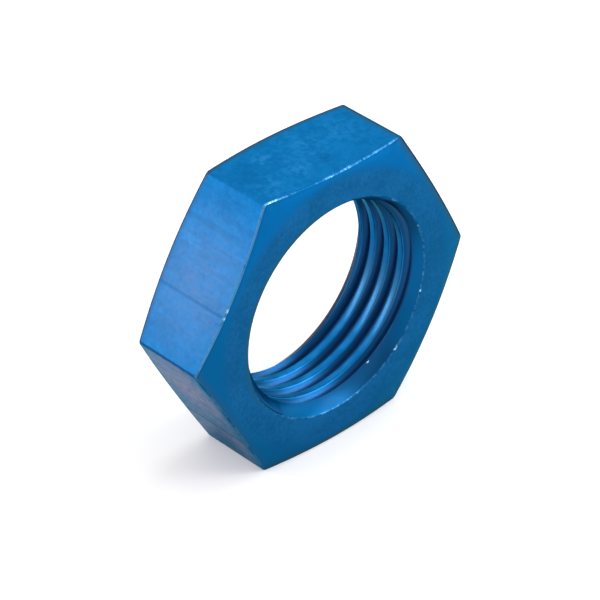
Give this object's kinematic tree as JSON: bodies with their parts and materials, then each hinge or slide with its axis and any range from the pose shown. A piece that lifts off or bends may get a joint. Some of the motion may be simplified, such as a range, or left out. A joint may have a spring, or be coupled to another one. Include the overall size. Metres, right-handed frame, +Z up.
{
  "type": "adjusting nut",
  "caption": "Thin blue anodised hexagonal lock nut with a fine thread right through it, countersunk mouths and chamfered corners on both faces.",
  "frame": {"origin": "on the thread's axis, midway between the two faces", "axes": "+Z up, with the nut standing on one flat; the thread's axis along Y, and the front face looking towards -Y"},
  "size_m": [0.0294, 0.0078, 0.0254],
  "materials": {
    "blue_anodised": "satin blue anodise over turned faces and drawn flats, worn bright along the sharp edges"
  },
  "bodies": {
    "root": {"nut": "blue_anodised"}
  },
  "joints": []
}
